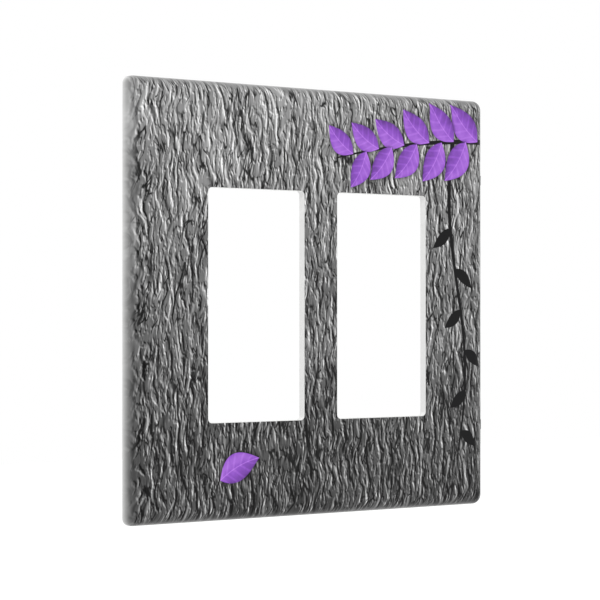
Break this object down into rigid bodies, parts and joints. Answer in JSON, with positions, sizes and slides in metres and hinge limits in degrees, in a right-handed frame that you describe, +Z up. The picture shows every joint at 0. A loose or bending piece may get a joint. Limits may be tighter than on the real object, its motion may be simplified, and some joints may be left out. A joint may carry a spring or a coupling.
{
  "type": "rocker switch wall plate",
  "caption": "Screwless wall plate for rocker switches: a printed cover that snaps over a hidden sub-plate, which screws hold to the switches.",
  "frame": {"origin": "in the plane of the wall, in the middle of the mounting screws, which is also the middle of the windows", "axes": "+X to the right as seen from the room, +Y into the wall, +Z up"},
  "size_m": [0.1296, 0.0154, 0.1258],
  "materials": {
    "printed_face": "printed, semi-gloss",
    "sub_plate_plastic": "satin pale grey, as moulded",
    "screw_steel": "zinc plated"
  },
  "bodies": {
    "base": {"sub_plate": "sub_plate_plastic", "latch_beam_lower_left": "sub_plate_plastic", "latch_beam_lower_right": "sub_plate_plastic", "latch_beam_upper_left": "sub_plate_plastic", "latch_beam_upper_right": "sub_plate_plastic"},
    "cover": {"face_plate": "printed_face"},
    "screw_lower_left": {"mounting_screw_lower_left": "screw_steel"},
    "screw_lower_right": {"mounting_screw_lower_right": "screw_steel"},
    "screw_upper_left": {"mounting_screw_upper_left": "screw_steel"},
    "screw_upper_right": {"mounting_screw_upper_right": "screw_steel"}
  },
  "joints": [
    {"name": "cover_slide", "type": "slide", "parent": "base", "child": "cover", "axis": [0, -1, 0], "range_m": [0, 0.025], "deforming": ["latch_beam_lower_left", "latch_beam_lower_right", "latch_beam_upper_left", "latch_beam_upper_right"]},
    {"name": "turn_lower_left", "type": "hinge", "parent": "base", "child": "screw_lower_left", "pos_m": [-0.02302, 0, -0.04842], "axis": [0, 1, 0], "continuous": true},
    {"name": "turn_lower_right", "type": "hinge", "parent": "base", "child": "screw_lower_right", "pos_m": [0.02302, 0, -0.04842], "axis": [0, 1, 0], "continuous": true},
    {"name": "turn_upper_left", "type": "hinge", "parent": "base", "child": "screw_upper_left", "pos_m": [-0.02302, 0, 0.04842], "axis": [0, 1, 0], "continuous": true},
    {"name": "turn_upper_right", "type": "hinge", "parent": "base", "child": "screw_upper_right", "pos_m": [0.02302, 0, 0.04842], "axis": [0, 1, 0], "continuous": true}
  ]
}
